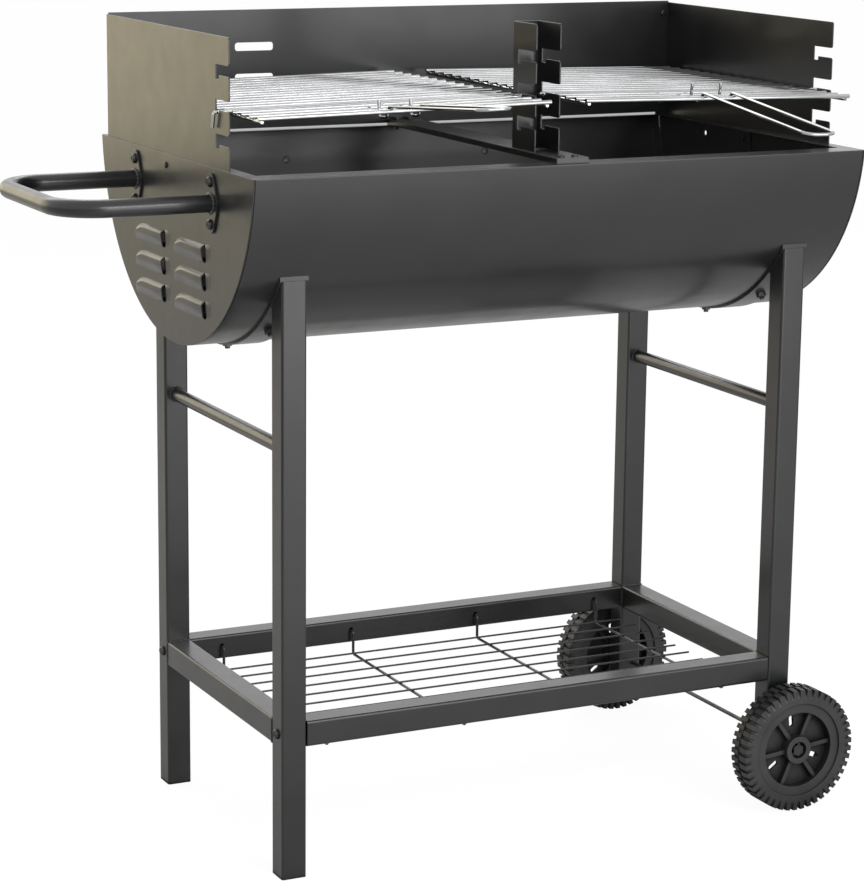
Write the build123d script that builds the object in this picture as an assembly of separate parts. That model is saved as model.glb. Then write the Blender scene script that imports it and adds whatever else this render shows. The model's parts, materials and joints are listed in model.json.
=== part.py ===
"""Half-barrel charcoal grill on a four-legged stand with two wheels.

Millimetres, +Z up. The bowl's middle is X = Y = 0 while the pieces are made: -X is the end with the
push handle, +X the end with the wheels, -Y the cook's side, and Z = 0 the floor. At the end all
pieces move together so that the origin is the middle of the bounding box's bottom.
"""
from build123d import *
import os
from math import asin, atan, cos, pi, radians, sin, sqrt

# Fire bowl
bowl_length = 770.0  # over the outer faces of the end plates
bowl_radius = 236.0  # outside of the rolled sheet
centre_above_rim = 23.0  # the section is a little less than half a circle
rim_height = 801.0  # above the floor
sheet = 1.5  # bowl, end plates, windshield, bar and post
lip_depth = 32.0  # turned-in lip along the front and the rear rim
seam = 0.8  # open line between the rolled sheet and an end plate
end_flange = 12.0  # end plate's curved flange, inside the bowl
end_flange_below_rim = 20.0
top_flange = 16.0  # end plate's flange along the rim
corner_gap = 0.5  # between that flange and the lips
flange_slot_width = 5.0
flange_slot_inset = 8.0  # from the end plate's outer face to the slots' middle
flange_slots = ((48.0, 20.0), (15.0, 18.0))  # middle behind the front lip's edge, length
vent_diameter = 7.0  # holes in the rear wall
vent_below_rim = 40.0
vent_places = (-150.0, 124.0)

# Air louvres of the end plates
louvre_height = 18.0
louvre_rise = 7.0  # at the top, before the ridge is rounded; the foot is level with the plate
louvre_length = 80.0
louvre_corner = 10.0  # upper rear corner
louvre_round = 3.0  # of the ridge
louvre_mouths = (-97.0, 27.0)  # open ends, which face the cook
louvre_top_row = 89.0  # top edge, below the rim
louvre_pitch = 31.6
louvre_rows = 3

# Charcoal grates
coal_below_rim = 111.0  # top face
coal_plate = 2.0
coal_end_gap = 5.0  # to the bar and to the end plates' flanges
coal_slot = 12.0
coal_slot_pitch = 29.0
coal_border = 22.0
coal_clearance = 0.3

# Windshield
panel_setback = 72.0  # side panels' front edge behind the front rim
panel_flange = 14.0
panel_corner = 3.0
rear_panel_extra = 2.0  # the rear panel stands a little higher
rear_panel_inset = 13.5  # rear panel's rear face behind the lip's edge
rear_panel_gap = 2.0  # open line between the rear panel and the lip
tab_width = 30.0  # side panel's tab inside the end plate
tab_drop = 26.0
tab_place = 23.0
tab_screw_below_rim = 13.0
tab_slot_gap = 0.5
rear_screw_inset = 14.0  # rear panel's screws, from its top and bottom edges

# Grate levels cut into the side panels and the post
levels = 3
grate_level = 1  # level in use, counted from the top
lowest_notch = 37.5  # upper edge of the lowest notch, above the panel's foot
level_pitch = 37.5
above_notches = 30.5  # from the top notch to the panel's top
notch_height = 11.5
notch_depth = 38.0
pocket_width = 9.5
pocket_depth = 4.5
slot_width = 50.0  # rear panel's slots
slot_height = 10.0
slot_corner = 3.5
slot_clearance = 0.8

# Middle bar and post
bar_width = 40.0
bar_height = 6.5
bar_front_inset = 6.0
bar_rear_gap = 3.0
bar_screw_spacing = 17.2
bar_screw_inset = 12.0
bar_rear_screw_inset = 5.0
post_width = 32.0
post_back = 11.0  # from the notches to the rear of the post
post_lead = 5.0  # the post's front edge ahead of the side panels'
post_foot = 30.0
post_foot_gap = 1.0
post_screw_inset = 9.0  # from the foot's front edge

# Cooking grates
grate_outer_gap = 10.0  # to a side panel
grate_inner_gap = 6.0  # to the post
grate_rods = 18  # the front wire included
rod_diameter = 4.0
front_wire = 5.0
frame_wire = 4.0  # side wires and ear rod
side_wire_inset = 4.5
front_wire_setback = 19.0  # behind the front rim
rear_rod_gap = 25.0  # rearmost rod to the rear panel
weld = 0.4  # depth by which crossing wires are sunk into each other
ear_reach = 4.0  # ear rod's bent end beyond the side panel
ear_drop = 17.0
ear_lean = 5.0
ear_bend = 3.5
ear_tail = 5.0  # ear rod's inner end inside the post
tongue_spacing = 36.0
tongue_reach = 12.0  # behind the rear panel
tongue_start = 2.5  # rod pitches ahead of the rearmost rod
tongue_bend = 8.0
seat_gap = 0.3  # between wires and what carries them

# Folding handles of the grates
handle_wire = 3.5
loop_spacing = 38.0
loop_length = 212.0
loop_flat = 10.0  # straight stretch across the loop's end
hook_bend = 5.0
hook_over = 6.5  # behind the front wire, where the arm turns down
hook_under = 13.5  # where the tail levels out
hook_tail = 9.0  # tail's turned-up end behind the next rod
hook_rise = 18.0
pivot_gap = 0.35
handle_droop = 6.5  # degrees, where the tail meets the rod
left_handle_lift = 4.5  # degrees, as it lies in the photograph

# Push handle
push_tube = 20.0
push_wall = 1.5
push_spacing = 234.0
push_below_rim = 39.0
push_reach = 169.0  # outer bar's axis beyond the end plate
push_bend = 51.0
push_flange = 2.5
push_flange_middle = 38.0
push_flange_end = 20.0
push_bolt_spacing = 46.5

# Stand
leg_tube = 30.0
tube_wall = 1.5
tube_corner = 3.0  # outside rounding of the square tubes
leg_inset_x = 64.5  # legs' middle, in from the bowl's ends
leg_inset_y = 57.5  # legs' middle, in from the bowl's sides
plug_flange = 3.0
plug_depth = 14.0
plug_gap = 0.2
strap = 3.0
strap_width = 34.0
saddle_bolt_angle = 31.0
brace_diameter = 16.0
brace_height = 492.5
rail_height = 154.0  # underside
rail_gap = 1.0  # long rail's ends to the legs
rail_end_plate = 2.0

# Wire shelf
shelf_drop = 28.5  # cross wires below the middle of the rails
cross_wire = 3.5
long_wire = 2.4
long_wires = 10
long_wire_border = 12.5  # first long wire to a rail
long_wire_end = 5.0  # long wires' ends to the legs
cross_wires = 4
cross_wire_inset = 42.0  # outer cross wires to the legs
hook_play = 1.5  # hole in the rail larger than the wire
hook_above = 2.0  # hooks above the middle of the rails
hook_gap = 6.0  # from a rail to the rising wire
hook_reach = 6.0  # into a rail
shelf_bend = 4.0

# Wheels
wheel_radius = 76.0
tread_width = 32.0
lug_height = 2.4
lugs = 46  # in each of two rows
lug_row_gap = 3.0
lug_share = 0.58  # of the pitch
shoulder_depth = 8.0  # bevel that the lugs run over
shoulder_width = 3.0
tyre_inner = 58.0
band_inner = 46.5
band_inset = 2.0
web = 4.0
hub_radius = 17.0
recess_radius = 10.5
recess_depth = 9.0
spokes = 6
spoke_start = 6.0
spoke_width = 5.0
spoke_inset = 6.0
web_slot_length = 14.0
web_slot_width = 6.0
web_slot_inset = 13.0  # slots' middle to the rim
web_slot_start = 96.0
web_slots = 3
axle_diameter = 5.0
axle_offset = 5.0  # from the right legs' middle, away from the bowl
axle_clearance = 0.05
axle_hole_gap = 0.1
leg_below_axle = 20.0
wheel_gap = 11.0  # leg to wheel
wheel_play = 0.5
spacer_radius = 6.0
washer = 1.5
washer_room = 1.0  # around the washer in the recess
axle_nut = 6.0
axle_nut_room = 3.0  # around the nut in the recess

# Bolts, screws and nuts
bolt = 6.0
bolt_head = 12.0
bolt_head_height = 3.6
bolt_tail = 3.0  # past the nut
nut_radius = 5.8
nut_height = 5.0
screw = 4.0
screw_head = 8.0
screw_head_height = 2.4
screw_tail = 6.0
hole_gap = 0.1  # around bolts and screws

# Places that follow from the sizes above
arc_height = rim_height + centre_above_rim
rim_half = sqrt(bowl_radius ** 2 - centre_above_rim ** 2)
bowl_inside = bowl_radius - sheet
lip_edge = rim_half - lip_depth
end_x = bowl_length / 2
panel_x = end_x - sheet  # side panel's outer face
panel_front = rim_half - panel_setback
rear_panel_y = lip_edge + rear_panel_inset  # rear panel's rear face
panel_rear = rear_panel_y + sheet  # side panels' rear edge
top_notch = lowest_notch + (levels - 1) * level_pitch
panel_height = top_notch + above_notches
post_front = -panel_front - post_lead
post_rear = post_front + post_lead + notch_depth + post_back
bar_top = rim_height + bar_height
bar_front_y = -rim_half + bar_front_inset
bar_rear_y = rear_panel_y - sheet - bar_rear_gap
ear_y = -panel_front + notch_depth - pocket_width / 2
level_above_foot = top_notch - grate_level * level_pitch
ear_above_foot = level_above_foot - notch_height - pocket_depth + seat_gap + frame_wire / 2
seat_outer = panel_x - sheet / 2
seat_inner = (post_width - sheet) / 2
grate_tilt = atan(bar_height / (seat_outer - seat_inner)) * 180 / pi
grate_outer = panel_x - sheet - grate_outer_gap
grate_inner = post_width / 2 + grate_inner_gap
grate_x = -(grate_outer + grate_inner) / 2
front_reach = rim_half - front_wire_setback
rear_reach = rear_panel_y - sheet - rear_rod_gap
rod_pitch = (front_reach + rear_reach) / (grate_rods - 1)
tongue_drop = rod_diameter - weld
push_z = rim_height - push_below_rim
leg_x = end_x - leg_inset_x
leg_y = bowl_radius - leg_inset_y
saddle_radius = bowl_radius + strap
rail_z = rail_height + leg_tube / 2
rail_end_x = leg_x - leg_tube / 2 - rail_gap
rail_inner_y = leg_y - leg_tube / 2
hook_z = rail_z + hook_above
shelf_z = rail_z - shelf_drop
hook_hole = cross_wire + hook_play
cross_wire_end = leg_x - leg_tube / 2 - cross_wire_inset
axle_x = leg_x + axle_offset
wheel_inner_y = leg_y + leg_tube / 2 + wheel_gap
wheel_y = wheel_inner_y + tread_width / 2
washer_radius = recess_radius - washer_room
axle_nut_radius = recess_radius - axle_nut_room
axle_end = wheel_inner_y + tread_width - recess_depth + wheel_play + washer + axle_nut

# Directions
front = Vector(0, -1, 0)
rear = Vector(0, 1, 0)
left = Vector(-1, 0, 0)
up = Vector(0, 0, 1)


def block(x_from, x_to, y_from, y_to, z_from, z_to):
    """Box between two corners."""
    middle = Pos((x_from + x_to) / 2, (y_from + y_to) / 2, (z_from + z_to) / 2)
    return middle * Box(x_to - x_from, y_to - y_from, z_to - z_from)


def rod(start, end, diameter):
    """Straight round bar."""
    way = Vector(*end) - Vector(*start)
    return extrude(Plane(origin=start, z_dir=way) * Circle(diameter / 2), way.length)


def bent_wire(points, bends, diameter):
    """Round wire along straight stretches with a bend at each inner point."""
    path = FilletPolyline(*points, radius=bends)
    return sweep(Plane(origin=path @ 0, z_dir=path % 0) * Circle(diameter / 2), path=path)


def square_tube(length):
    """Square tube along Z from the origin."""
    hollow = leg_tube - 2 * tube_wall
    section = RectangleRounded(leg_tube, leg_tube, tube_corner)
    return extrude(section - RectangleRounded(hollow, hollow, tube_corner - tube_wall), length)


def fastener(origin, direction, head, head_height, shank, shank_length):
    """Pan-headed bolt or screw: the head stands on the origin, the shank goes the other way."""
    body = Cylinder(head / 2, head_height, align=(Align.CENTER, Align.CENTER, Align.MIN))
    body = chamfer(body.edges().group_by(Axis.Z)[-1], head_height / 2)
    body += Cylinder(shank / 2, shank_length, align=(Align.CENTER, Align.CENTER, Align.MAX))
    return Plane(origin=origin, z_dir=direction) * body


def nut(origin, direction, radius, height, bore):
    """Hexagon nut that starts at the origin."""
    return extrude(Plane(origin=origin, z_dir=direction) * (RegularPolygon(radius, 6) - Circle(bore)), height)


def hole(origin, direction, diameter):
    """Cutter for a bolt or screw hole through the sheets near the origin."""
    reach = bolt_tail + nut_height
    return Plane(origin=origin, z_dir=direction) * Cylinder(diameter / 2 + hole_gap, 2 * reach)


def below_rim(outline, height):
    """Part of an outline in the YZ plane that lies below a height."""
    size = 4 * bowl_radius
    return outline & Pos(0, height - size / 2) * Rectangle(size, size)


def ring(outer, inner):
    """Ring in the YZ plane around the bowl's axis."""
    return Pos(0, arc_height) * (Circle(outer) - Circle(inner))


def saddle_bolt_places():
    """Points on the bowl's outside under both saddles, with the outward directions."""
    places = []
    for x in (-leg_x, leg_x):
        for angle in (-saddle_bolt_angle, 0, saddle_bolt_angle):
            out = Vector(0, sin(radians(angle)), -cos(radians(angle)))
            places.append((Vector(x, 0, arc_height) + out * bowl_radius, out))
    return places


def push_bolt_places():
    """Points on the left end plate's outside where the push handle is bolted."""
    places = []
    for y in (-push_spacing / 2, push_spacing / 2):
        for z in (push_z - push_bolt_spacing / 2, push_z + push_bolt_spacing / 2):
            places.append(Vector(-end_x, y, z))
    return places


def bar_screw_places():
    """Points on top of the bar, at its front and its rear end."""
    places = []
    for x in (-bar_screw_spacing / 2, bar_screw_spacing / 2):
        for y in (bar_front_y + bar_screw_inset, bar_rear_y - bar_rear_screw_inset):
            places.append(Vector(x, y, bar_top))
    return places


def rear_screw_places():
    """Points on the rear panel's front where it is screwed to the side panels' flanges."""
    places = []
    for side in (-1, 1):
        for z in (rim_height + rear_screw_inset, rim_height + panel_height - rear_screw_inset):
            places.append(Vector(side * (panel_x - sheet - panel_flange / 2), rear_panel_y - sheet, z))
    return places


def make_bowl():
    """Rolled half barrel with turned-in lips."""
    section = below_rim(ring(bowl_radius, bowl_inside), rim_height)
    for side in (-1, 1):
        lip_middle = Pos(side * (rim_half + lip_edge) / 2, rim_height - sheet / 2)
        section += lip_middle * Rectangle(lip_depth, sheet)
    shell = extrude(Plane.YZ * section, end_x - sheet - seam, both=True)
    for x in vent_places:
        shell -= rod((x, 0, rim_height - vent_below_rim), (x, bowl_radius, rim_height - vent_below_rim),
                     vent_diameter)
    for place, out in saddle_bolt_places():
        shell -= hole(place, out, bolt)
    for place in bar_screw_places():
        shell -= hole(Vector(place.X, place.Y, rim_height), up, screw)
    return shell


def louvre_form(inset):
    """Hood of a louvre, open at the front; the inset is zero for its outside and the sheet for its inside."""
    back = 2 * sheet + inset
    section = make_face(Polyline((back, 0), (0, 0), (-louvre_rise, louvre_height), (back, louvre_height),
                                 close=True))
    if inset > 0:
        section = offset(section, -inset, kind=Kind.INTERSECTION)
    form = Pos(0, louvre_length - inset, 0) * extrude(Plane.XZ * section, louvre_length)
    corner = form.edges().filter_by(Axis.X).group_by(Axis.Y)[-1].sort_by(Axis.Z)[-1]
    form = fillet(corner, louvre_corner - inset)
    hood = form.faces().sort_by(Axis.X)[0]
    ridge = hood.edges().sort_by(Axis.Z)[1:].sort_by(Axis.Y)[1:]
    return fillet(ridge, louvre_round - inset)


def make_left_end_plate():
    """Pressed D-shaped end with flanges, louvres and the push handle's holes."""
    outside = Plane.YZ.offset(-end_x)
    disc = below_rim(Pos(0, arc_height) * Circle(bowl_radius), rim_height)
    plate = extrude(outside * disc, sheet)
    rolled = below_rim(ring(bowl_inside, bowl_inside - sheet), rim_height - end_flange_below_rim)
    plate += extrude(outside * rolled, sheet + end_flange)
    flange_half = lip_edge - corner_gap
    plate += block(-end_x, -end_x + top_flange, -flange_half, flange_half, rim_height - sheet, rim_height)
    outdoors = block(-2 * end_x, -end_x, -bowl_radius, bowl_radius, rim_height - 2 * bowl_radius, rim_height)
    hood = louvre_form(0)
    cavity = louvre_form(sheet)
    for mouth in louvre_mouths:
        for row in range(louvre_rows):
            place = Pos(-end_x, mouth, rim_height - louvre_top_row - louvre_height - row * louvre_pitch)
            plate += (place * hood) & outdoors
            plate -= place * cavity
    for place, length in flange_slots:
        cutter = extrude(SlotOverall(length, flange_slot_width), sheet, both=True)
        plate -= Pos(-end_x + flange_slot_inset, place, rim_height) * Rot(0, 0, 90) * cutter
    tab_half = tab_width / 2 + tab_slot_gap
    plate -= block(-panel_x, -panel_x + sheet + tab_slot_gap, tab_place - tab_half, tab_place + tab_half,
                   rim_height - sheet, rim_height)
    plate -= hole(Vector(-end_x, tab_place, rim_height - tab_screw_below_rim), left, screw)
    for place in push_bolt_places():
        plate -= hole(place, left, bolt)
    return plate


def make_left_charcoal_grate():
    """Slotted plate whose long edges lie on the inside of the bowl."""
    top = rim_height - coal_below_rim
    under_arc = arc_height - top + coal_plate
    half = sqrt((bowl_inside - coal_clearance) ** 2 - under_arc ** 2)
    outer = end_x - max(top_flange, sheet + end_flange) - coal_end_gap
    inner = bar_width / 2 + coal_end_gap
    middle_x = -(outer + inner) / 2
    outline = Rectangle(outer - inner, 2 * half)
    rows = int((2 * (half - coal_border)) / coal_slot_pitch)
    slot = SlotOverall(outer - inner - 2 * coal_border, coal_slot)
    for row in range(rows + 1):
        outline -= Pos(0, (row - rows / 2) * coal_slot_pitch) * slot
    return Pos(middle_x, 0, top - coal_plate) * extrude(outline, coal_plate)


def notched_outline(front_y, rear_y, foot, depth):
    """Outline in the YZ plane of a panel whose front edge has the grate levels cut in."""
    middle = Pos((front_y + rear_y) / 2, foot + panel_height / 2)
    outline = middle * Rectangle(rear_y - front_y, panel_height)
    for level in range(levels):
        top = foot + top_notch - level * level_pitch
        pocket_height = notch_height + pocket_depth
        outline -= Pos(front_y + depth / 2, top - notch_height / 2) * Rectangle(depth, notch_height)
        outline -= (Pos(front_y + depth - pocket_width / 2, top - pocket_height / 2)
                    * Rectangle(pocket_width, pocket_height))
    corners = outline.vertices().group_by(Axis.X)[0].sort_by(Axis.Y)[1:]
    return fillet(corners, panel_corner)


def make_left_windshield():
    """Side panel with its rear flange and the tab that is screwed inside the end plate."""
    outline = notched_outline(-panel_front, panel_rear, rim_height, notch_depth)
    panel = extrude(Plane.YZ.offset(-panel_x) * outline, sheet)
    panel += block(-panel_x, -panel_x + sheet + panel_flange, panel_rear - sheet, panel_rear,
                   rim_height, rim_height + panel_height)
    panel += block(-panel_x, -panel_x + sheet, tab_place - tab_width / 2, tab_place + tab_width / 2,
                   rim_height - tab_drop, rim_height)
    panel -= hole(Vector(-end_x, tab_place, rim_height - tab_screw_below_rim), left, screw)
    for place in rear_screw_places():
        panel -= hole(place, front, screw)
    return panel


def make_rear_windshield():
    """Rear panel with the slots for the grates' tongues; the side panels' flanges carry it."""
    half = panel_x - sheet
    top = rim_height + panel_height + rear_panel_extra
    panel = block(-half, half, rear_panel_y - sheet, rear_panel_y, rim_height + rear_panel_gap, top)
    tongue_z = rim_height + ear_above_foot + bar_height / 2 - tongue_drop
    slot_z = tongue_z - rod_diameter / 2 - slot_clearance + slot_height / 2
    slot = RectangleRounded(slot_width, slot_height, slot_corner)
    cutter = extrude(Plane.XZ * slot, 2 * sheet, both=True)
    for x in (grate_x, -grate_x):
        for level in range(levels):
            panel -= Pos(x, rear_panel_y, slot_z + (grate_level - level) * level_pitch) * cutter
    for place in rear_screw_places():
        panel -= hole(place, front, screw)
    return panel


def make_windshield_screws():
    """Screws of the rear panel and of the side panels' tabs."""
    screws = []
    for place in rear_screw_places():
        screws.append(fastener(place, front, screw_head, screw_head_height, screw, screw_tail))
    for side in (-1, 1):
        place = Vector(side * end_x, tab_place, rim_height - tab_screw_below_rim)
        screws.append(fastener(place, -side * left, screw_head, screw_head_height, screw, screw_tail))
    return Compound(screws)


def make_centre_bar():
    """Shallow channel, open below and at the rear, that rests on both lips."""
    half = bar_width / 2
    bar = block(-half, half, bar_front_y, bar_rear_y, rim_height, bar_top)
    bar -= block(-half + sheet, half - sheet, bar_front_y + sheet, bar_rear_y, rim_height, bar_top - sheet)
    for place in bar_screw_places() + [post_screw_place()]:
        bar -= hole(place, up, screw)
    return bar


def post_screw_place():
    """Point on the bar's top under the screw in the post's foot."""
    return Vector(0, post_rear - post_foot + post_screw_inset, bar_top)


def make_centre_post():
    """Upright channel with the web at the rear and the grate levels cut into both sides."""
    half = post_width / 2
    outline = notched_outline(post_front, post_rear, bar_top, notch_depth + post_lead)
    post = extrude(Plane.YZ.offset(-half) * outline, sheet)
    post += extrude(Plane.YZ.offset(half - sheet) * outline, sheet)
    post += block(-half, half, post_rear - sheet, post_rear, bar_top, bar_top + panel_height)
    foot_half = half - sheet - post_foot_gap
    post += block(-foot_half, foot_half, post_rear - post_foot, post_rear, bar_top, bar_top + sheet)
    return post - hole(post_screw_place(), up, screw)


def make_bar_screws():
    """Screws that hold the bar to the lips and the post to the bar."""
    through = bar_height + screw_tail
    screws = []
    for place in bar_screw_places():
        screws.append(fastener(place, up, screw_head, screw_head_height, screw, through))
    place = post_screw_place() + up * sheet
    screws.append(fastener(place, up, screw_head, screw_head_height, screw, screw_tail))
    return Compound(screws)


def seat_left_grate(flat):
    """Move a flat left grate or its handle to its seat, where the inner end lies higher."""
    seat = Pos(-seat_outer, 0, rim_height + ear_above_foot)
    return seat * Rot(0, -grate_tilt, 0) * Pos(seat_outer, 0, 0) * flat


def make_flat_left_grate():
    """Welded wire grate: rods on two side wires, an ear rod in front and a tongue at the rear."""
    side_drop = (rod_diameter + frame_wire) / 2 - weld
    wires = []
    for index in range(grate_rods - 1):
        y = rear_reach - index * rod_pitch
        wires.append(rod((-grate_outer, y, 0), (-grate_inner, y, 0), rod_diameter))
    side_end = rear_reach + rod_diameter
    for x in (-grate_outer + side_wire_inset, -grate_inner - side_wire_inset):
        wires.append(rod((x, -front_reach, -side_drop), (x, side_end, -side_drop), frame_wire))
    ear_x = -panel_x - ear_reach
    ear_points = [(ear_x, ear_y + ear_lean, -ear_drop), (ear_x, ear_y, 0),
                  (-post_width / 2 + sheet + ear_tail, ear_y, 0)]
    wires.append(bent_wire(ear_points, ear_bend, frame_wire))
    y_from = rear_reach - tongue_start * rod_pitch
    y_to = rear_panel_y + tongue_reach
    x_from = grate_x - tongue_spacing / 2
    x_to = grate_x + tongue_spacing / 2
    tongue_points = [(x_from, y_from, -tongue_drop), (x_from, y_to, -tongue_drop),
                     (x_to, y_to, -tongue_drop), (x_to, y_from, -tongue_drop)]
    wires.append(bent_wire(tongue_points, tongue_bend, rod_diameter))
    return rod((-grate_outer, -front_reach, 0), (-grate_inner, -front_reach, 0), front_wire) + wires


def make_flat_left_handle(lift):
    """Wire loop hooked over the front wire and under the next rod, its tip lifted by some degrees."""
    over = front_wire / 2 + pivot_gap + handle_wire / 2
    droop = radians(handle_droop)
    under = ((rod_diameter + handle_wire) / 2 + pivot_gap + rod_pitch * sin(droop)) / cos(droop)
    hook_end = rod_pitch + hook_tail
    half = [(hook_end, hook_rise - under), (hook_end, -under), (hook_under, -under), (hook_over, over),
            (-loop_length, over)]
    points = [(-loop_spacing / 2, y, z) for y, z in half]
    points += [(loop_spacing / 2, y, z) for y, z in reversed(half)]
    hooks = [hook_bend] * (len(half) - 2)
    loop_bend = (loop_spacing - loop_flat) / 2
    loop = bent_wire(points, hooks + [loop_bend, loop_bend] + hooks, handle_wire)
    return Pos(grate_x, -front_reach, 0) * Rot(-lift, 0, 0) * loop


def make_push_handle():
    """Bent tube between its two flanges."""
    start = -end_x - push_flange
    bar_x = -end_x - push_reach
    half = push_spacing / 2
    points = [(start, -half, push_z), (bar_x, -half, push_z), (bar_x, half, push_z), (start, half, push_z)]
    path = FilletPolyline(*points, radius=push_bend)
    section = Circle(push_tube / 2) - Circle(push_tube / 2 - push_wall)
    return sweep(Plane(origin=path @ 0, z_dir=path % 0) * section, path=path)


def make_handle_flanges():
    """Oval flanges between the tube and the left end plate."""
    circles = Circle(push_flange_middle / 2).edges()
    for side in (-1, 1):
        circles += (Pos(0, side * push_bolt_spacing / 2) * Circle(push_flange_end / 2)).edges()
    oval = extrude(Plane.YZ * make_hull(circles), -push_flange)
    flanges = []
    for y in (-push_spacing / 2, push_spacing / 2):
        flange = Pos(-end_x, y, push_z) * oval
        for place in push_bolt_places():
            flange -= hole(place, left, bolt)
        flanges.append(flange)
    return Compound(flanges)


def make_handle_bolts():
    """Bolts through the flanges and the left end plate."""
    through = push_flange + sheet + nut_height + bolt_tail
    bolts = []
    for place in push_bolt_places():
        bolts.append(fastener(place + left * push_flange, left, bolt_head, bolt_head_height, bolt, through))
    return Compound(bolts)


def make_handle_nuts():
    """Nuts inside the left end plate."""
    nuts = []
    for place in push_bolt_places():
        nuts.append(nut(place - left * sheet, -left, nut_radius, nut_height, bolt / 2 + hole_gap))
    return Compound(nuts)


def make_leg(x, y, bottom):
    """Square tube with its top coped to the saddle and the holes for bolt and axle."""
    leg = Pos(x, y, bottom) * square_tube(arc_height - bottom)
    leg -= Pos(x, 0, arc_height) * Rot(0, 90, 0) * Cylinder(saddle_radius, 2 * leg_tube)
    leg -= rod((x - leg_tube, y, rail_z), (x + leg_tube, y, rail_z), bolt + 2 * hole_gap)
    if x > 0:
        leg -= rod((axle_x, y - leg_tube, wheel_radius), (axle_x, y + leg_tube, wheel_radius),
                   axle_diameter + 2 * axle_hole_gap)
    return leg


def make_leg_plugs():
    """Plastic plugs in the lower ends of all legs."""
    stem = leg_tube - 2 * tube_wall - 2 * plug_gap
    plug = extrude(RectangleRounded(leg_tube, leg_tube, tube_corner), plug_flange)
    stem_section = RectangleRounded(stem, stem, tube_corner - tube_wall)
    plug += Pos(0, 0, plug_flange) * extrude(stem_section, plug_depth - plug_flange)
    plugs = []
    for x in (-leg_x, leg_x):
        for y in (-leg_y, leg_y):
            plugs.append(Pos(x, y, leg_bottom(x) - plug_flange) * plug)
    return Compound(plugs)


def leg_bottom(x):
    """Height of a leg's lower end: on its plug at the left, just below the axle at the right."""
    return plug_flange if x < 0 else wheel_radius - leg_below_axle


def make_left_saddle():
    """Rolled strap under the bowl, as long as the legs stand apart."""
    half = leg_y + leg_tube / 2
    under_bowl = Pos(0, arc_height - bowl_radius) * Rectangle(2 * half, 2 * bowl_radius)
    arc = ring(saddle_radius, bowl_radius) & under_bowl
    saddle = extrude(Plane.YZ.offset(-leg_x) * arc, strap_width / 2, both=True)
    for place, out in saddle_bolt_places():
        saddle -= hole(place, out, bolt)
    return saddle


def make_saddle_bolts():
    """Bolts from inside the bowl through the saddles."""
    sunk = bowl_inside - bowl_inside * cos(asin(bolt_head / 2 / bowl_inside))
    through = sunk + sheet + strap + nut_height + bolt_tail
    bolts = []
    for place, out in saddle_bolt_places():
        head_place = place - out * (sheet + sunk)
        bolts.append(fastener(head_place, -out, bolt_head, bolt_head_height, bolt, through))
    return Compound(bolts)


def make_saddle_nuts():
    """Nuts under the saddles."""
    nuts = []
    for place, out in saddle_bolt_places():
        nuts.append(nut(place + out * strap, out, nut_radius, nut_height, bolt / 2 + hole_gap))
    return Compound(nuts)


def make_left_brace():
    """Round tube between the left legs."""
    way = Plane(origin=(-leg_x, -rail_inner_y, brace_height), z_dir=rear)
    section = Circle(brace_diameter / 2) - Circle(brace_diameter / 2 - tube_wall)
    return extrude(way * section, 2 * rail_inner_y)


def make_front_rail():
    """Long square tube with closed ends for the bolts and holes for the shelf's hooks."""
    length = 2 * rail_end_x
    rail = Plane(origin=(-rail_end_x, -leg_y, rail_z), z_dir=-left) * square_tube(length)
    inside = leg_tube / 2 - tube_wall
    for side in (-1, 1):
        x_from, x_to = sorted((side * rail_end_x, side * (rail_end_x - rail_end_plate)))
        rail += block(x_from, x_to, -leg_y - inside, -leg_y + inside, rail_z - inside, rail_z + inside)
    rail -= rod((-leg_x, -leg_y, rail_z), (leg_x, -leg_y, rail_z), bolt + 2 * hole_gap)
    for x in cross_wire_places():
        rail -= rod((x, -leg_y, hook_z), (x, -rail_inner_y + tube_wall, hook_z), hook_hole)
    return rail


def make_left_rail():
    """Short square tube between the left legs."""
    way = Plane(origin=(-leg_x, -rail_inner_y, rail_z), z_dir=rear)
    return way * square_tube(2 * rail_inner_y)


def make_rail_bolts():
    """Bolts through the legs into the ends of the long rails."""
    through = leg_tube + rail_gap + rail_end_plate + bolt_tail
    bolts = []
    for side in (-1, 1):
        for y in (-leg_y, leg_y):
            place = Vector(side * (leg_x + leg_tube / 2), y, rail_z)
            bolts.append(fastener(place, -side * left, bolt_head, bolt_head_height, bolt, through))
    return Compound(bolts)


def cross_wire_places():
    """X places of the shelf's cross wires."""
    pitch = 2 * cross_wire_end / (cross_wires - 1)
    return [-cross_wire_end + index * pitch for index in range(cross_wires)]


def make_wire_shelf():
    """Long wires on cross wires, whose ends rise and hook into the rails."""
    rise_y = rail_inner_y - hook_gap
    end_y = rail_inner_y + hook_reach
    end_z = hook_z - (hook_hole - cross_wire) / 2
    long_z = shelf_z + (cross_wire + long_wire) / 2 - weld
    long_x = leg_x - leg_tube / 2 - long_wire_end
    outer_y = rail_inner_y - long_wire_border
    wires = []
    for x in cross_wire_places():
        points = [(x, -end_y, end_z), (x, -rise_y, end_z), (x, -rise_y, shelf_z),
                  (x, rise_y, shelf_z), (x, rise_y, end_z), (x, end_y, end_z)]
        wires.append(bent_wire(points, shelf_bend, cross_wire))
    for index in range(long_wires):
        y = -outer_y + index * 2 * outer_y / (long_wires - 1)
        wires.append(rod((-long_x, y, long_z), (long_x, y, long_z), long_wire))
    return wires[0] + wires[1:]


def lug_ring(turn):
    """Outline of one row of tread lugs, turned by a share of the pitch."""
    low = wheel_radius - lug_height - shoulder_depth
    pitch = 2 * pi / lugs
    points = []
    for index in range(lugs):
        begin = (index + turn) * pitch
        for radius, share in ((low, 0), (wheel_radius, 0), (wheel_radius, lug_share), (low, lug_share)):
            angle = begin + share * pitch
            points.append((radius * cos(angle), radius * sin(angle)))
    return make_face(Polyline(*points, close=True)) - Circle(tyre_inner)


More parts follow.
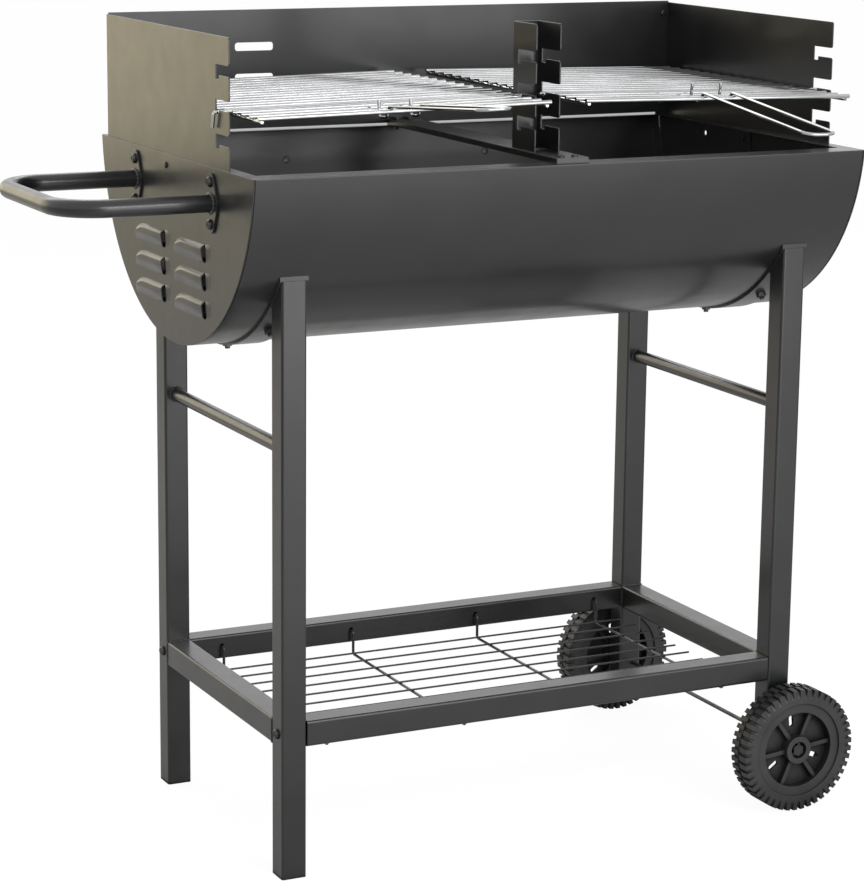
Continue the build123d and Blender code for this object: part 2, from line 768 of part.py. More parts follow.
def make_front_wheel():
    """Moulded wheel: revolved hub, web, rim and tyre, with spokes, web slots and two rows of lugs."""
    half = tread_width / 2
    tyre_outer = wheel_radius - lug_height
    band = half - band_inset
    bore = axle_diameter / 2 + axle_clearance
    floor = half - recess_depth
    profile = Polyline(
        (bore, -half), (hub_radius, -half), (hub_radius, -web / 2), (band_inner, -web / 2),
        (band_inner, -band), (tyre_inner, -band), (tyre_inner, -half), (tyre_outer - shoulder_depth, -half),
        (tyre_outer, -half + shoulder_width), (tyre_outer, half - shoulder_width),
        (tyre_outer - shoulder_depth, half),
        (tyre_inner, half), (tyre_inner, band), (band_inner, band), (band_inner, web / 2),
        (hub_radius, web / 2), (hub_radius, half), (recess_radius, half), (recess_radius, floor),
        (bore, floor), close=True)
    wheel = revolve(Plane.XZ * make_face(profile), Axis.Z)
    spoke_from = (hub_radius + recess_radius) / 2
    spoke_to = (band_inner + tyre_inner) / 2
    spoke = Pos((spoke_from + spoke_to) / 2, 0, 0) * Box(
        spoke_to - spoke_from, spoke_width, tread_width - 2 * spoke_inset)
    slot = Pos(band_inner - web_slot_inset, 0, 0) * extrude(
        SlotOverall(web_slot_length, web_slot_width), web, both=True)
    wheel += [Rot(0, 0, spoke_start + index * 360 / spokes) * spoke for index in range(spokes)]
    wheel -= [Rot(0, 0, web_slot_start + index * 360 / web_slots) * slot for index in range(web_slots)]
    row = half - lug_row_gap / 2
    wheel += Pos(0, 0, lug_row_gap / 2) * extrude(lug_ring(0), row)
    wheel += Pos(0, 0, -lug_row_gap / 2) * extrude(lug_ring(0.5), -row)
    return Plane(origin=(axle_x, -wheel_y, wheel_radius), x_dir=(1, 0, 0), z_dir=front) * wheel


def on_both_axle_ends(y_from, length, outer):
    """Sleeve or washer on the axle's front end and its copy on the rear end."""
    section = Circle(outer) - Circle(axle_diameter / 2)
    rings = []
    for side in (-1, 1):
        start = Plane(origin=(axle_x, side * y_from, wheel_radius), z_dir=side * rear)
        rings.append(extrude(start * section, length))
    return Compound(rings)


def make_axle_nuts():
    """Nuts on the axle's ends."""
    nuts = []
    for side in (-1, 1):
        origin = (axle_x, side * (axle_end - axle_nut), wheel_radius)
        nuts.append(nut(origin, side * rear, axle_nut_radius, axle_nut, axle_diameter / 2))
    return Compound(nuts)


def mirrored_x(shape):
    """Copy on the other end of the bowl."""
    return mirror(shape, about=Plane.YZ)


def mirrored_y(shape):
    """Copy on the other side of the bowl."""
    return mirror(shape, about=Plane.XZ)


def make_nodes():
    """All pieces by name, before the move to the origin."""
    nodes = {"fire_bowl": make_bowl(), "rear_windshield": make_rear_windshield()}
    pairs = {
        "end_plate": make_left_end_plate(),
        "charcoal_grate": make_left_charcoal_grate(),
        "windshield": make_left_windshield(),
        "grate": seat_left_grate(make_flat_left_grate()),
        "saddle": make_left_saddle(),
        "brace": make_left_brace(),
        "rail": make_left_rail(),
    }
    for name, shape in pairs.items():
        nodes["left_" + name] = shape
        nodes["right_" + name] = mirrored_x(shape)
    nodes["left_grate_handle"] = seat_left_grate(make_flat_left_handle(left_handle_lift))
    nodes["right_grate_handle"] = mirrored_x(seat_left_grate(make_flat_left_handle(-handle_droop)))
    nodes["windshield_screws"] = make_windshield_screws()
    nodes["centre_bar"] = make_centre_bar()
    nodes["centre_post"] = make_centre_post()
    nodes["bar_screws"] = make_bar_screws()
    nodes["push_handle"] = make_push_handle()
    nodes["handle_flanges"] = make_handle_flanges()
    nodes["handle_bolts"] = make_handle_bolts()
    nodes["handle_nuts"] = make_handle_nuts()
    for side, x in (("left", -leg_x), ("right", leg_x)):
        nodes["front_" + side + "_leg"] = make_leg(x, -leg_y, leg_bottom(x))
        nodes["rear_" + side + "_leg"] = make_leg(x, leg_y, leg_bottom(x))
    nodes["leg_plugs"] = make_leg_plugs()
    nodes["saddle_bolts"] = make_saddle_bolts()
    nodes["saddle_nuts"] = make_saddle_nuts()
    nodes["front_rail"] = make_front_rail()
    nodes["rear_rail"] = mirrored_y(nodes["front_rail"])
    nodes["rail_bolts"] = make_rail_bolts()
    nodes["wire_shelf"] = make_wire_shelf()
    nodes["front_wheel"] = make_front_wheel()
    nodes["rear_wheel"] = mirrored_y(nodes["front_wheel"])
    nodes["axle"] = rod((axle_x, -axle_end, wheel_radius), (axle_x, axle_end, wheel_radius), axle_diameter)
    leg_face = leg_y + leg_tube / 2
    nodes["axle_spacers"] = on_both_axle_ends(leg_face, wheel_gap - wheel_play, spacer_radius)
    nodes["axle_washers"] = on_both_axle_ends(axle_end - axle_nut - washer, washer, washer_radius)
    nodes["axle_nuts"] = make_axle_nuts()
    return nodes


nodes = make_nodes()
bounds = Compound(list(nodes.values())).bounding_box()
shift = Vector(-bounds.center().X, -bounds.center().Y, -bounds.min.Z)
os.makedirs("parts", exist_ok=True)
for name, shape in nodes.items():
    export_step(Pos(shift) * shape, "parts/" + name + ".step")
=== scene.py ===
"""Looks of a half-barrel charcoal grill on a wheeled stand, around its solid parts. Metres, +Z up."""

import json
import math

import bpy
from mathutils import Matrix, Vector


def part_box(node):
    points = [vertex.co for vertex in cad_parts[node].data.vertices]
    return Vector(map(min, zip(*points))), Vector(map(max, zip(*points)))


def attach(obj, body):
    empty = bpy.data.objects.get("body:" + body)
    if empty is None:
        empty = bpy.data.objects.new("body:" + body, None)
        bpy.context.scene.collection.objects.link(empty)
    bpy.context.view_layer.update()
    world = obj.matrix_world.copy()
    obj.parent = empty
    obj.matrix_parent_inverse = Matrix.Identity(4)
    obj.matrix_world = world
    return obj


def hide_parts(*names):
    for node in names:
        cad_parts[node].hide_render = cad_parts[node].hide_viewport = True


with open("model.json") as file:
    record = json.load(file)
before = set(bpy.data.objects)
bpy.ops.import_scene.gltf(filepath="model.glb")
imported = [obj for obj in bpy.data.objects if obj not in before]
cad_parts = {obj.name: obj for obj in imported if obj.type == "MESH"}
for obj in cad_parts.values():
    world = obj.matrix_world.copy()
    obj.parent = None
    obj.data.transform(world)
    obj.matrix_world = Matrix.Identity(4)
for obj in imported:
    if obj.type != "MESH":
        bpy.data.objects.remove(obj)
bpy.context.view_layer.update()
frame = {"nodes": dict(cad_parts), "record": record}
nodes = frame["nodes"]

# Camera, measured from the middle of the bowl's length and width on the floor
IMAGE_LONG_SIDE = 884
SENSOR = 36.0
FOCAL_PIXELS = 2845.5
CAMERA_FROM_BOWL = Vector((-1.5285, -2.9844, 1.1761))
CAMERA_YAW = math.radians(26.237)
CAMERA_PITCH = math.radians(12.413)
CAMERA_ROLL = math.radians(0.624)
CLIP_END = 100.0

# Surroundings
WORLD_COLOR = (0.97, 0.98, 1.0, 1.0)
WORLD_STRENGTH = 0.60
BACKGROUND_WHITE = (1.0, 1.0, 1.0, 1.0)
FLOOR_SIZE = 60.0
FLOOR_DROP = 0.0005
FLOOR_COLOR = (0.66, 0.66, 0.66, 1.0)
FLOOR_SHADOW = 0.14
FLOOR_GLOW = 1.09

# Softboxes: name, place, aim, width, height, radiance and colour
WHITE = (1.0, 1.0, 1.0)
LAMPS = (
    ("front_box", (0.85, -2.7, 0.97), (0.15, -0.2, 0.97), 2.2, 1.9, 2.5, WHITE),
    ("floor_pool", (0.05, -1.6, 1.3), (0.05, -1.599, 0.0), 1.2, 0.5, 10.0, WHITE),
    ("back_box", (0.2, 3.0, 2.8), (0.0, 0.0, 0.7), 3.4, 1.3, 2.2, WHITE),
    ("left_card", (-1.6, 2.4, 1.25), (-0.3, 0.1, 1.25), 2.4, 1.50, 1.18, (1.0, 0.84, 0.46)),
    ("left_low_card", (-1.6, 2.4, 0.29), (-0.3, 0.1, 0.45), 2.4, 0.40, 0.21, (1.0, 0.80, 0.24)),
)

# Materials: noise scales, and bumps as scale, strength, distance and radius of the rounded edges
NOISE_ROUGHNESS = 0.55
FINE_DETAIL = 2.0
EDGE_SAMPLES = 6
PAINT_CLOUDS = 9.0
PAINT_CLOUD_RANGE = (0.35, 0.7)
PAINT_GLOSS = 26.0
PAINT_COAT_ROUGHNESS = 0.18
PAINT_PEEL = (1400.0, 0.06, 0.0004, 0.0009)
CLOUD_RANGE = (0.3, 0.7)
METAL_GLOSS = 3.0
METAL_GRAIN = (900.0, 0.05, 0.0003, 0.0004)
PLASTIC_CLOUDS = 20.0
PLASTIC_GLOSS = 60.0
PLASTIC_GRAIN = (2200.0, 0.12, 0.0003, 0.0012)
# Painted shade on plastic: specular level from deep hollows to open faces, then the reach, range and
# samples of the ambient occlusion that sets it
PLASTIC_SHADED_SPECULAR = (0.05, 0.55)
PAINTED_SHADE_REACH = 0.05
PAINTED_SHADE_RANGE = (0.4, 0.95)
PAINTED_SHADE_SAMPLES = 8

# Sizes in mm that the scene's own pieces share with the frame, from the bowl's middle on the floor
MM = 0.001
RIM = 801.0
BOWL_RADIUS = 236.0
BOWL_CENTRE = 824.0
PLATE_X = 385.0
LEG_X = 320.5
LEG_Y = 178.5
LEG_INNER_Y = 163.5
RAIL_Z = 169.0
BRACE_Z = 492.5
PUSH_Y = 117.0
PUSH_Z = 762.0

# Louvres of the end plates in mm, with lengths back from the mouth and heights above the foot
LOUVRE_MOUTHS = (-97.0, 27.0)
LOUVRE_FEET = (694.0, 662.4, 630.8)
LOUVRE_LENGTH = 80.0
LOUVRE_HEIGHT = 18.0
LOUVRE_DEPTH = 1.6
LOUVRE_MARGIN = 0.3
SHARP_ANGLE = math.radians(30.0)

# Hoods pressed over the louvres, in the same mm
HOOD_RISE = 4.4
HOOD_LIFT = 2.3
HOOD_FRONT = 3.0
HOOD_END = 98.0
HOOD_TOP = 19.2
HOOD_FULL = 16.5
HOOD_CORNER = (40.0, 17.0)
HOOD_WALL = 0.28
HOOD_SHEET = 0.8
FOOT_BELOW = 3.0
FOOT_EASE = 13.0
MOUTH_BELOW = 1.5
MOUTH_EASE = 2.5
MOUTH_BLEND = 30.0
LEAST_RISE = 0.05
SUNK_EDGE = 0.4

# Plate in front of a mouth, in the same mm
CHEEK_RISE = 1.0
CHEEK_REACH = 18.0
CHEEK_EDGE = 1.2
CHEEK_BELOW = 1.0
CHEEK_FOOT_EASE = 14.0
CHEEK_ABOVE = 3.0
CHEEK_TOP_EASE = 8.0
CHEEK_STEPS = 16

# Grid of a hood as start, step and count: finer along its top and round its rear corner
UP_GRID = ((-5.0, 1.0, 18), (13.0, 0.4, 18))
BACK_GRID = ((HOOD_FRONT, 3.0, 19), (61.0, 1.5, 26))

# Welds: reach of the ring and radius of the bead in mm, points round the ring and number of ripples
PUSH_WELD = (10.3, 1.9, 72, 17)
PUSH_WELD_OUT = 2.5
BRACE_WELD = (8.1, 1.5, 60, 15)
RAIL_WELD = (15.0, 1.1, 160, 41)
RAIL_CORNER = 3.0
BEAD_SIDES = 8

# Ripples of a bead as size, rate and shift
RIPPLES = ((0.16, 1.0, 0.0), (0.10, 0.6, 1.0))

# Bolts and screws in mm: cross recesses, drawn as near-black plates of painted shade, as length and
# width, their layers as height and share, and heads
BOLT_CROSS = (6.4, 1.7)
SCREW_CROSS = (4.2, 1.1)
CROSS_TURN = 0.5
CROSS_LAYERS = ((-0.3, 1.0), (0.06, 1.0), (0.06, 0.86))
PUSH_BOLT_REACH = 23.25
PUSH_BOLT_HEAD = 6.1
RAIL_BOLT_HEAD = 18.6
BAR_SCREW_X = 8.6
BAR_SCREW_Y = (-216.88, 206.88)
BAR_SCREW_TOP = 809.9
SHIELD_SCREW_X = 375.0
SHIELD_SCREW_Y = 212.48
SHIELD_SCREW_Z = (815.0, 930.0)

# Rivets of the rear wall in mm, with heights and radii of a head's profile
RIVET_X = (-150.0, 124.0)
RIVET_BELOW_RIM = 40.0
RIVET_PROFILE = ((0.0, 4.6), (0.55, 4.5), (0.8, 3.6), (0.95, 2.3), (1.0, 1.0))
RIVET_SIDES = 28
RIVET_SUNK = 0.5
RIVET_INSIDE = 1.6
RIVET_OUTSIDE = 0.1


def bowl_middle():
    """Middle of the bowl's length and width, on the floor."""
    low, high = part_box("fire_bowl")
    return Vector(((low[0] + high[0]) / 2, (low[1] + high[1]) / 2, 0.0))


def add_camera():
    """Camera at the photograph's place, with its roll."""
    forward = Vector((math.sin(CAMERA_YAW) * math.cos(CAMERA_PITCH),
                      math.cos(CAMERA_YAW) * math.cos(CAMERA_PITCH), -math.sin(CAMERA_PITCH)))
    level = Vector((math.cos(CAMERA_YAW), -math.sin(CAMERA_YAW), 0.0))
    upward = level.cross(forward)
    right = level * math.cos(CAMERA_ROLL) + upward * math.sin(CAMERA_ROLL)
    upward = upward * math.cos(CAMERA_ROLL) - level * math.sin(CAMERA_ROLL)
    data = bpy.data.cameras.new("camera")
    data.sensor_width = SENSOR
    data.lens = FOCAL_PIXELS / IMAGE_LONG_SIDE * SENSOR
    data.clip_end = CLIP_END
    camera = bpy.data.objects.new("camera", data)
    turn = Matrix((right, upward, -forward)).transposed()
    camera.matrix_world = Matrix.Translation(bowl_middle() + CAMERA_FROM_BOWL) @ turn.to_4x4()
    bpy.context.collection.objects.link(camera)
    bpy.context.scene.camera = camera


def new_material(name):
    """Material with an empty node tree apart from its shader and output."""
    material = bpy.data.materials.new(name)
    material.use_nodes = True
    tree = material.node_tree
    return material, tree, tree.nodes["Principled BSDF"]


def noise(tree, scale, detail=3.0):
    """Noise in object coordinates, in metres."""
    place = tree.nodes.new("ShaderNodeTexCoord")
    texture = tree.nodes.new("ShaderNodeTexNoise")
    texture.inputs["Scale"].default_value = scale
    texture.inputs["Detail"].default_value = detail
    texture.inputs["Roughness"].default_value = NOISE_ROUGHNESS
    tree.links.new(place.outputs["Object"], texture.inputs["Vector"])
    return texture.outputs["Fac"]


def ramp(tree, value, limits, low_color, high_color):
    """Colour that goes from one to another as the value goes from one limit to the other."""
    node = tree.nodes.new("ShaderNodeValToRGB")
    for element, position, color in zip(node.color_ramp.elements, limits, (low_color, high_color)):
        element.position = position
        element.color = (*color, 1.0)
    tree.links.new(value, node.inputs["Fac"])
    return node.outputs["Color"]


def spread(tree, value, low, high, limits=CLOUD_RANGE):
    """Value between two limits stretched to run from low to high."""
    node = tree.nodes.new("ShaderNodeMapRange")
    node.inputs["From Min"].default_value = limits[0]
    node.inputs["From Max"].default_value = limits[1]
    node.inputs["To Min"].default_value = low
    node.inputs["To Max"].default_value = high
    tree.links.new(value, node.inputs["Value"])
    return node.outputs["Result"]


def bump(tree, shader, scale, strength, distance, edge):
    """Bump from fine noise, on edges that look rounded to the given radius."""
    rounded = tree.nodes.new("ShaderNodeBevel")
    rounded.samples = EDGE_SAMPLES
    rounded.inputs["Radius"].default_value = edge
    node = tree.nodes.new("ShaderNodeBump")
    node.inputs["Strength"].default_value = strength
    node.inputs["Distance"].default_value = distance
    tree.links.new(noise(tree, scale, FINE_DETAIL), node.inputs["Height"])
    tree.links.new(rounded.outputs["Normal"], node.inputs["Normal"])
    tree.links.new(node.outputs["Normal"], shader.inputs["Normal"])


def paint(name, dark, light, rough_low, rough_high, coat):
    """Satin black stove paint: faint clouds, an uneven gloss and orange peel."""
    material, tree, shader = new_material(name)
    color = ramp(tree, noise(tree, PAINT_CLOUDS), PAINT_CLOUD_RANGE, dark, light)
    gloss = spread(tree, noise(tree, PAINT_GLOSS), rough_low, rough_high)
    tree.links.new(color, shader.inputs["Base Color"])
    tree.links.new(gloss, shader.inputs["Roughness"])
    shader.inputs["Coat Weight"].default_value = coat
    shader.inputs["Coat Roughness"].default_value = PAINT_COAT_ROUGHNESS
    bump(tree, shader, *PAINT_PEEL)
    return material


def metal(name, dark, light, rough_low, rough_high, scale):
    """Plated metal with faint cloudy tarnish."""
    material, tree, shader = new_material(name)
    color = ramp(tree, noise(tree, scale), CLOUD_RANGE, dark, light)
    gloss = spread(tree, noise(tree, METAL_GLOSS * scale), rough_low, rough_high)
    shader.inputs["Metallic"].default_value = 1.0
    tree.links.new(color, shader.inputs["Base Color"])
    tree.links.new(gloss, shader.inputs["Roughness"])
    bump(tree, shader, *METAL_GRAIN)
    return material


def plastic(name, dark, light, rough_low, rough_high):
    """Moulded plastic with a fine grain, and painted shade: ambient occlusion lowers its specular level
    in hollows.
    """
    material, tree, shader = new_material(name)
    color = ramp(tree, noise(tree, PLASTIC_CLOUDS), CLOUD_RANGE, dark, light)
    gloss = spread(tree, noise(tree, PLASTIC_GLOSS), rough_low, rough_high)
    # Painted shade: ambient occlusion weakens the reflections in hollows
    painted_shade = tree.nodes.new("ShaderNodeAmbientOcclusion")
    painted_shade.samples = PAINTED_SHADE_SAMPLES
    painted_shade.inputs["Distance"].default_value = PAINTED_SHADE_REACH
    shaded_specular = spread(tree, painted_shade.outputs["AO"], *PLASTIC_SHADED_SPECULAR, PAINTED_SHADE_RANGE)
    tree.links.new(color, shader.inputs["Base Color"])
    tree.links.new(gloss, shader.inputs["Roughness"])
    tree.links.new(shaded_specular, shader.inputs["Specular IOR Level"])
    bump(tree, shader, *PLASTIC_GRAIN)
    return material


def add_piece(name, points, faces, material, smooth=True):
    """Mesh piece of the stand and bowl, from points in mm around the bowl's middle."""
    middle = bowl_middle()
    mesh = bpy.data.meshes.new(name)
    mesh.from_pydata([middle + Vector(point) * MM for point in points], [], faces)
    mesh.polygons.foreach_set("use_smooth", [smooth] * len(faces))
    mesh.materials.append(material)
    piece = bpy.data.objects.new(name, mesh)
    bpy.context.collection.objects.link(piece)
    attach(piece, "trolley")
    return piece


def eased(value):
    """Smooth step from 0 to 1."""
    value = min(max(value, 0.0), 1.0)
    return value * value * (3.0 - 2.0 * value)


def steps(start, step, count):
    """Evenly spaced values."""
    return [start + step * index for index in range(count)]


def hood_wall(back, up):
    """Share of a hood's full rise, which falls to nothing along its top and round its rear corner."""
    along = max(0.0, 1.0 - (HOOD_END - back) / HOOD_CORNER[0])
    across = max(0.0, 1.0 - (HOOD_TOP - up) / HOOD_CORNER[1])
    inside = 1.0 - math.hypot(along, across)
    return math.sin(math.pi / 2 * min(max(inside / HOOD_WALL, 0.0), 1.0))


def hood_rise(back, up):
    """Rise of a hood: flat above a soft foot, and lifted at the mouth."""
    share = min(max(up, 0.0) / HOOD_FULL, 1.0)
    lift = HOOD_LIFT + (HOOD_RISE - HOOD_LIFT) * share
    lifted = eased((up + MOUTH_BELOW) / MOUTH_EASE) * lift
    flat = HOOD_RISE * eased((up + FOOT_BELOW) / FOOT_EASE)
    blend = eased(back / MOUTH_BLEND)
    return (lifted + (flat - lifted) * blend) * hood_wall(back, up)


def cheek_rise(back, up):
    """Rise of the plate in front of a mouth, pulled out softly along with the hood."""
    near = eased(1.0 + (back - CHEEK_EDGE) / CHEEK_REACH)
    above_foot = eased((up + CHEEK_BELOW) / CHEEK_FOOT_EASE)
    below_top = eased((HOOD_TOP + CHEEK_ABOVE - up) / CHEEK_TOP_EASE)
    return CHEEK_RISE * above_foot * below_top * near


def sheet_patch(points, faces, side, mouth, foot, backs, ups, rise):
    """Add a patch of an end plate that stands out by the given rise, and ends inside the plate."""
    first = len(points)
    rows = len(ups)
    rises = [[rise(back, up) for up in ups] for back in backs]
    for back, column in zip(backs, rises):
        for up, height in zip(ups, column):
            out = height if height > LEAST_RISE else -SUNK_EDGE
            points.append((side * (PLATE_X + out), mouth + back, foot + up))
    for i in range(len(backs) - 1):
        for j in range(rows - 1):
            if max(*rises[i][j:j + 2], *rises[i + 1][j:j + 2]) > LEAST_RISE:
                corner = first + i * rows + j
                face = (corner, corner + 1, corner + rows + 1, corner + rows)
                faces.append(face if side < 0 else face[::-1])


def on_louvre(corners, side):
    """Whether a face of an end plate belongs to the solid's louvres."""
    for mouth in LOUVRE_MOUTHS:
        for foot in LOUVRE_FEET:
            if all(-LOUVRE_MARGIN < y - mouth < LOUVRE_LENGTH + LOUVRE_MARGIN
                   and -LOUVRE_MARGIN < z - foot < LOUVRE_HEIGHT + LOUVRE_MARGIN
                   and side * x > PLATE_X - LOUVRE_DEPTH for x, y, z in corners):
                return True
    return False


def add_end_plate(name, side, material):
    """End plate with pressed hoods, which stands for the solid with its plainer ones."""
    middle = bowl_middle()
    solid = nodes[name].data
    places = [(vertex.co - middle) / MM for vertex in solid.vertices]
    kept = [tuple(face.vertices) for face in solid.polygons
            if not on_louvre([places[corner] for corner in face.vertices], side)]
    used = sorted({corner for face in kept for corner in face})
    index = {corner: place for place, corner in enumerate(used)}
    points = [places[corner] for corner in used]
    faces = [tuple(index[corner] for corner in face) for face in kept]
    plate = add_piece("pressed_" + name, points, faces, material)
    plate.data.set_sharp_from_angle(angle=SHARP_ANGLE)
    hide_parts(name)
    points, faces = [], []
    ups = [up for part in UP_GRID for up in steps(*part)]
    backs = [back for part in BACK_GRID for back in steps(*part)]
    fronts = steps(CHEEK_EDGE - CHEEK_REACH, CHEEK_REACH / CHEEK_STEPS, CHEEK_STEPS + 1)
    for mouth in LOUVRE_MOUTHS:
        for foot in LOUVRE_FEET:
            sheet_patch(points, faces, side, mouth, foot, backs, ups, hood_rise)
            sheet_patch(points, faces, side, mouth, foot, fronts, ups, cheek_rise)
    hoods = add_piece("hoods_of_" + name, points, faces, material)
    thick = hoods.modifiers.new("sheet", "SOLIDIFY")
    thick.thickness = HOOD_SHEET * MM
    thick.offset = -1.0


def add_bead(points, faces, path, bead, turns):
    """Add a closed, rippled weld bead along a ring of places, outward directions and axes."""
    first = len(points)
    count = len(path)
    for index, (place, outward, axis) in enumerate(path):
        angle = 2 * math.pi * index / count
        ripple = 1.0 + sum(size * math.sin(rate * turns * angle + shift) for size, rate, shift in RIPPLES)
        for k in range(BEAD_SIDES):
            turn = 2 * math.pi * k / BEAD_SIDES
            points.append(place + (outward * math.cos(turn) + axis * math.sin(turn)) * bead * ripple)
    for index in range(count):
        here = first + index * BEAD_SIDES
        there = first + (index + 1) % count * BEAD_SIDES
        for k in range(BEAD_SIDES):
            after = (k + 1) % BEAD_SIDES
            faces.append((here + k, here + after, there + after, there + k))


def round_path(centre, axis, radius, count):
    """Ring of places round a tube."""
    axis = Vector(axis)
    across = axis.orthogonal().normalized()
    other = axis.cross(across)
    path = []
    for index in range(count):
        turn = 2 * math.pi * index / count
        outward = across * math.cos(turn) + other * math.sin(turn)
        path.append((Vector(centre) + outward * radius, outward, axis))
    return path


def square_path(centre, half, corner, count):
    """Ring of places round a square tube along Y, with rounded corners."""
    path = []
    for index in range(count):
        turn = 2 * math.pi * index / count
        outward = Vector((math.cos(turn), 0.0, math.sin(turn)))
        reach = half / max(abs(outward.x), abs(outward.z))
        reach = min(reach, half * math.sqrt(2.0) - corner * (math.sqrt(2.0) - 1.0))
        path.append((Vector(centre) + outward * reach, outward, Vector((0.0, 1.0, 0.0))))
    return path


def add_welds(material):
    """Weld beads of the push handle, the braces and the short rails."""
    inner_sides = [(x, y) for x in (-LEG_X, LEG_X) for y in (-LEG_INNER_Y, LEG_INNER_Y)]
    points, faces = [], []
    reach, bead, count, ripples = PUSH_WELD
    for y in (-PUSH_Y, PUSH_Y):
        path = round_path((-PLATE_X - PUSH_WELD_OUT, y, PUSH_Z), (1, 0, 0), reach, count)
        add_bead(points, faces, path, bead, ripples)
    add_piece("handle_welds", points, faces, material)
    points, faces = [], []
    reach, bead, count, ripples = BRACE_WELD
    for x, y in inner_sides:
        path = round_path((x, y, BRACE_Z), (0, 1, 0), reach, count)
        add_bead(points, faces, path, bead, ripples)
    add_piece("brace_welds", points, faces, material)
    points, faces = [], []
    reach, bead, count, ripples = RAIL_WELD
    for x, y in inner_sides:
        path = square_path((x, y, RAIL_Z), reach, RAIL_CORNER, count)
        add_bead(points, faces, path, bead, ripples)
    add_piece("rail_welds", points, faces, material)


def add_cross(points, faces, place, direction, size):
    """Add a cross recess's outline as a thin plate on a screw head, whose near-black colour is painted
    shade.
    """
    direction = Vector(direction)
    across = direction.orthogonal().normalized()
    across = across * math.cos(CROSS_TURN) + direction.cross(across) * math.sin(CROSS_TURN)
    other = direction.cross(across)
    tip, arm = size[0] / 2, size[1] / 2
    quarter = [(tip, arm), (arm, arm), (arm, tip)]
    outline = []
    for _ in range(4):
        outline += quarter
        quarter = [(-v, u) for u, v in quarter]
    first = len(points)
    for height, share in CROSS_LAYERS:
        for u, v in outline:
            points.append(Vector(place) + direction * height + (across * u + other * v) * share)
    count = len(outline)
    for layer in range(len(CROSS_LAYERS) - 1):
        for index in range(count):
            a = first + layer * count + index
            b = first + layer * count + (index + 1) % count
            faces.append((a, b, b + count, a + count))
    top = first + (len(CROSS_LAYERS) - 1) * count
    faces.append(tuple(top + index for index in range(count)))


def add_recess_shades(material):
    """Cross recesses of the bolts and screws that show, as plates of painted shade."""
    points, faces = [], []
    for y in (-PUSH_Y, PUSH_Y):
        for z in (PUSH_Z - PUSH_BOLT_REACH, PUSH_Z + PUSH_BOLT_REACH):
            add_cross(points, faces, (-PLATE_X - PUSH_BOLT_HEAD, y, z), (-1, 0, 0), BOLT_CROSS)
    for side in (-1, 1):
        for y in (-LEG_Y, LEG_Y):
            head = (side * (LEG_X + RAIL_BOLT_HEAD), y, RAIL_Z)
            add_cross(points, faces, head, (side, 0, 0), BOLT_CROSS)
    for x in (-BAR_SCREW_X, BAR_SCREW_X):
        for y in BAR_SCREW_Y:
            add_cross(points, faces, (x, y, BAR_SCREW_TOP), (0, 0, 1), SCREW_CROSS)
    for x in (-SHIELD_SCREW_X, SHIELD_SCREW_X):
        for z in SHIELD_SCREW_Z:
            add_cross(points, faces, (x, SHIELD_SCREW_Y, z), (0, -1, 0), SCREW_CROSS)
    add_piece("painted_screw_recess_shade", points, faces, material, smooth=False)


def add_rivet_head(points, faces, centre, outward, way):
    """Add a low round head that stands out of the rear wall, or into the bowl where way is negative."""
    first = len(points)
    sideways = Vector((1.0, 0.0, 0.0))
    other = sideways.cross(outward)
    for rise, size in RIVET_PROFILE:
        for k in range(RIVET_SIDES):
            turn = way * 2 * math.pi * k / RIVET_SIDES
            across = sideways * math.cos(turn) + other * math.sin(turn)
            points.append(centre + outward * way * (rise - RIVET_SUNK) + across * size)
    rings = len(RIVET_PROFILE) - 1
    for ring in range(rings):
        for k in range(RIVET_SIDES):
            a = first + ring * RIVET_SIDES + k
            b = first + ring * RIVET_SIDES + (k + 1) % RIVET_SIDES
            faces.append((b, a, a + RIVET_SIDES, b + RIVET_SIDES))
    top = first + rings * RIVET_SIDES
    faces.append(tuple(top + k for k in reversed(range(RIVET_SIDES))))


def add_rivets(material):
    """Low round-headed rivets in the two holes of the rear wall, inside and outside."""
    points, faces = [], []
    below = BOWL_CENTRE - (RIM - RIVET_BELOW_RIM)
    outward = Vector((0.0, math.sqrt(1.0 - (below / BOWL_RADIUS) ** 2), -below / BOWL_RADIUS))
    for x in RIVET_X:
        axis = Vector((x, 0.0, BOWL_CENTRE))
        add_rivet_head(points, faces, axis + outward * (BOWL_RADIUS - RIVET_INSIDE), outward, -1.0)
        add_rivet_head(points, faces, axis + outward * (BOWL_RADIUS + RIVET_OUTSIDE), outward, 1.0)
    add_piece("rear_wall_rivets", points, faces, material)


def dress(name, material):
    """Give a CAD node one material."""
    mesh = nodes[name].data
    mesh.materials.clear()
    mesh.materials.append(material)


def add_world():
    """Soft even light; white where the camera, a mirror or glass looks at it."""
    world = bpy.data.worlds.new("studio")
    bpy.context.scene.world = world
    world.use_nodes = True
    tree = world.node_tree
    tree.nodes.clear()
    path = tree.nodes.new("ShaderNodeLightPath")
    seen = tree.nodes.new("ShaderNodeMath")
    seen.operation = "MAXIMUM"
    tree.links.new(path.outputs["Is Camera Ray"], seen.inputs[0])
    tree.links.new(path.outputs["Is Transmission Ray"], seen.inputs[1])
    shown = tree.nodes.new("ShaderNodeMath")
    shown.operation = "MAXIMUM"
    tree.links.new(seen.outputs["Value"], shown.inputs[0])
    tree.links.new(path.outputs["Is Glossy Ray"], shown.inputs[1])
    light = tree.nodes.new("ShaderNodeBackground")
    light.inputs["Color"].default_value = WORLD_COLOR
    light.inputs["Strength"].default_value = WORLD_STRENGTH
    white = tree.nodes.new("ShaderNodeBackground")
    white.inputs["Color"].default_value = BACKGROUND_WHITE
    mix = tree.nodes.new("ShaderNodeMixShader")
    tree.links.new(shown.outputs["Value"], mix.inputs["Fac"])
    tree.links.new(light.outputs["Background"], mix.inputs[1])
    tree.links.new(white.outputs["Background"], mix.inputs[2])
    output = tree.nodes.new("ShaderNodeOutputWorld")
    tree.links.new(mix.outputs["Shader"], output.inputs["Surface"])


